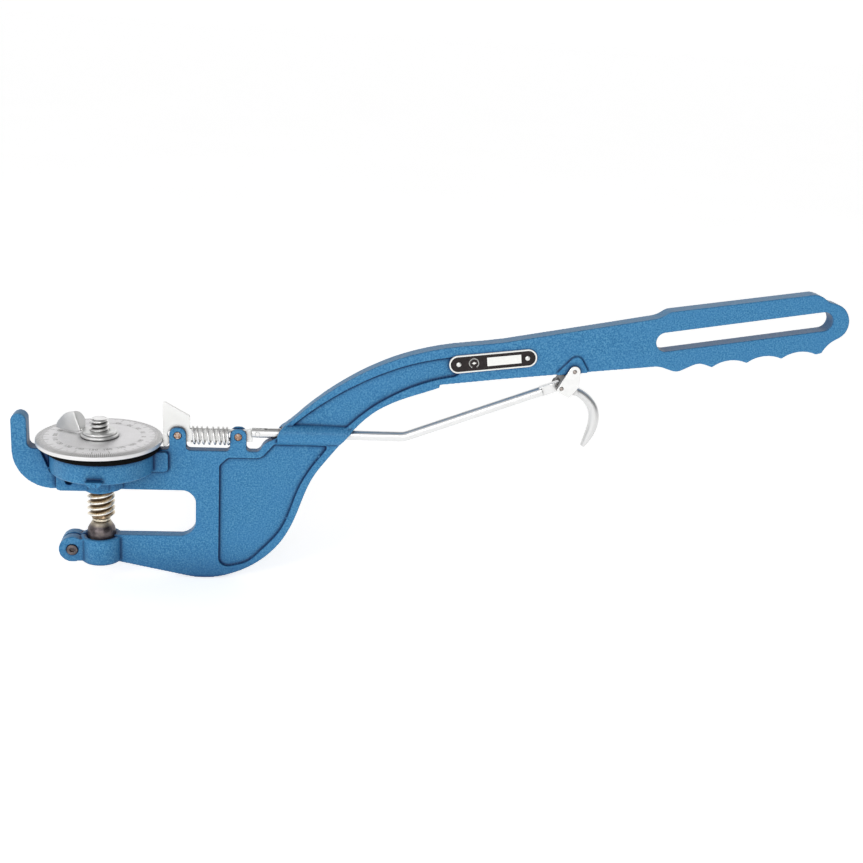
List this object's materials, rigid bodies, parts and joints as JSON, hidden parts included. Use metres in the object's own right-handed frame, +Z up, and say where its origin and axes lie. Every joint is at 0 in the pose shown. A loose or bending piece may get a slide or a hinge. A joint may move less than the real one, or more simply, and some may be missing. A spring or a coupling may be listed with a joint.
{
  "type": "hand-held lever arbor press",
  "caption": "Hand-held C-frame screw press: indexed dial and spindle over an anvil, trigger-released latch, long cast handle with finger grooves and slotted grip.",
  "frame": {"origin": "press point: centre of the anvil's face on the spindle axis, where the swivel tip meets it", "axes": "+Z up the spindle axis, +X from the spindle towards the grip, Y across the tool's thickness"},
  "size_m": [0.543, 0.08, 0.21],
  "materials": {
    "blue_paint": "stoved paint over a sand-cast surface, satin",
    "dial_metal": "turned, matt",
    "zinc": "matt zinc plate",
    "zinc_bright": "bright zinc plate",
    "greased_steel": "turned and greased",
    "dark_steel": "blued",
    "spring_steel": "bright",
    "copper_pin": "dull copper",
    "bronze": "machined",
    "rod_steel": "satin plated",
    "bracket_sheet": "pale plated sheet",
    "lever_metal": "polished casting",
    "pin_steel": "dull",
    "black_rubber": "matt",
    "plate_black": "enamel with a pale raised border",
    "plate_rivet": "domed"
  },
  "bodies": {
    "frame": {"frame_casting": "blue_paint", "nut_bush": "bronze", "bush_lock_screw": "dark_steel", "dust_ring": "black_rubber", "latch_spring": "spring_steel", "ear_pins": "copper_pin", "rod_bush": "bronze", "name_plate": "plate_black", "name_plate_rivets": "plate_rivet"},
    "anvil": {"anvil_stud": "dark_steel"},
    "clamp": {"clamp_screw": "dark_steel"},
    "tip": {"pressure_tip": "greased_steel", "tip_retaining_ring": "spring_steel"},
    "spindle": {"spindle": "greased_steel"},
    "dial": {"dial_disc": "dial_metal"},
    "washer": {"nut_washer": "zinc"},
    "nut": {"wing_nut": "zinc"},
    "latch": {"latch_plate": "zinc_bright"},
    "rod": {"pull_rod": "rod_steel", "rod_rivet": "rod_steel"},
    "trigger": {"trigger_bracket": "bracket_sheet", "finger_lever": "lever_metal", "trigger_pivot_pin": "pin_steel", "rod_pin": "pin_steel", "pin_clips": "spring_steel"}
  },
  "joints": [
    {"name": "anvil_height", "type": "slide", "parent": "frame", "child": "anvil", "axis": [0, 0, 1], "range_m": [-0.004, 0]},
    {"name": "clamp_turn", "type": "hinge", "parent": "frame", "child": "clamp", "pos_m": [-0.018, 0, -0.0182], "axis": [0, -1, 0], "range_deg": [0, 180]},
    {"name": "spindle_lift", "type": "slide", "parent": "frame", "child": "tip", "axis": [0, 0, 1], "range_m": [0, 0.02]},
    {"name": "spindle_turn", "type": "hinge", "parent": "tip", "child": "spindle", "pos_m": [0, 0, 0], "axis": [0, 0, 1], "range_deg": [0, 900.5]},
    {"name": "dial_set", "type": "hinge", "parent": "spindle", "child": "dial", "pos_m": [0, 0, 0.0568], "axis": [0, 0, 1], "continuous": true},
    {"name": "nut_lift", "type": "slide", "parent": "spindle", "child": "washer", "axis": [0, 0, 1], "range_m": [0, 0.0016]},
    {"name": "nut_turn", "type": "hinge", "parent": "washer", "child": "nut", "pos_m": [0, 0, 0.0609], "axis": [0, 0, 1], "range_deg": [0, 180]},
    {"name": "latch_slide", "type": "slide", "parent": "frame", "child": "latch", "axis": [1, 0, 0], "range_m": [0, 0.004], "stiffness_N_per_m": 1500, "springref_m": -0.006, "deforming": ["latch_spring"]},
    {"name": "rod_swing", "type": "hinge", "parent": "latch", "child": "rod", "pos_m": [0.101, 0, 0.0634], "axis": [0, -1, 0], "range_deg": [-0.6, 0]},
    {"name": "trigger_pull", "type": "hinge", "parent": "frame", "child": "trigger", "pos_m": [0.3057, 0, 0.1139], "axis": [0, -1, 0], "range_deg": [0, 19.3]}
  ],
  "couplings": [
    {"joint": "spindle_turn", "follows": "spindle_lift", "rad_per_m": 785.4},
    {"joint": "nut_lift", "follows": "nut_turn", "m_per_rad": 0.00047746},
    {"joint": "trigger_pull", "follows": "latch_slide", "rad_per_m": 84.034},
    {"joint": "rod_swing", "follows": "latch_slide", "rad_per_m": -2.3782}
  ]
}
